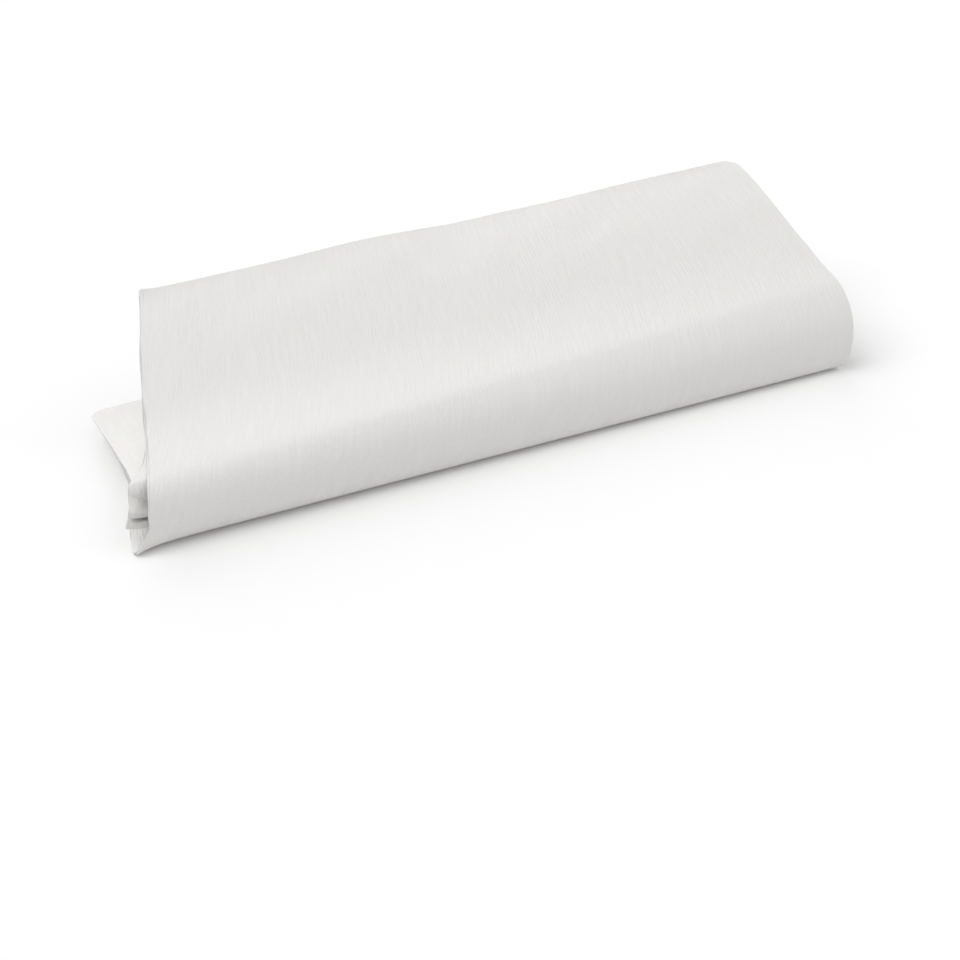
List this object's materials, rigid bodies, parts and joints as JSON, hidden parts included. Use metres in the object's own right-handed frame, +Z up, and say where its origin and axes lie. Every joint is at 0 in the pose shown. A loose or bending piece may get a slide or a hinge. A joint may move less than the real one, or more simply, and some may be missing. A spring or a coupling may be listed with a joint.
{
  "type": "tablecloth",
  "caption": "Disposable linen-look tablecloth folded into a long flat packet, its big front fold wrapping small inner folds and its upper panels springing open as a flap",
  "frame": {"origin": "middle of the folded packet's footprint, on the face it rests on", "axes": "+X along the packet, parallel to its folds; +Y from the spine, the big front fold, to the rear edge; +Z up"},
  "size_m": [0.3818, 0.1466, 0.0734],
  "materials": {
    "linen_paper": "matte embossed airlaid paper"
  },
  "bodies": {
    "root": {"tablecloth": "linen_paper"}
  },
  "joints": []
}
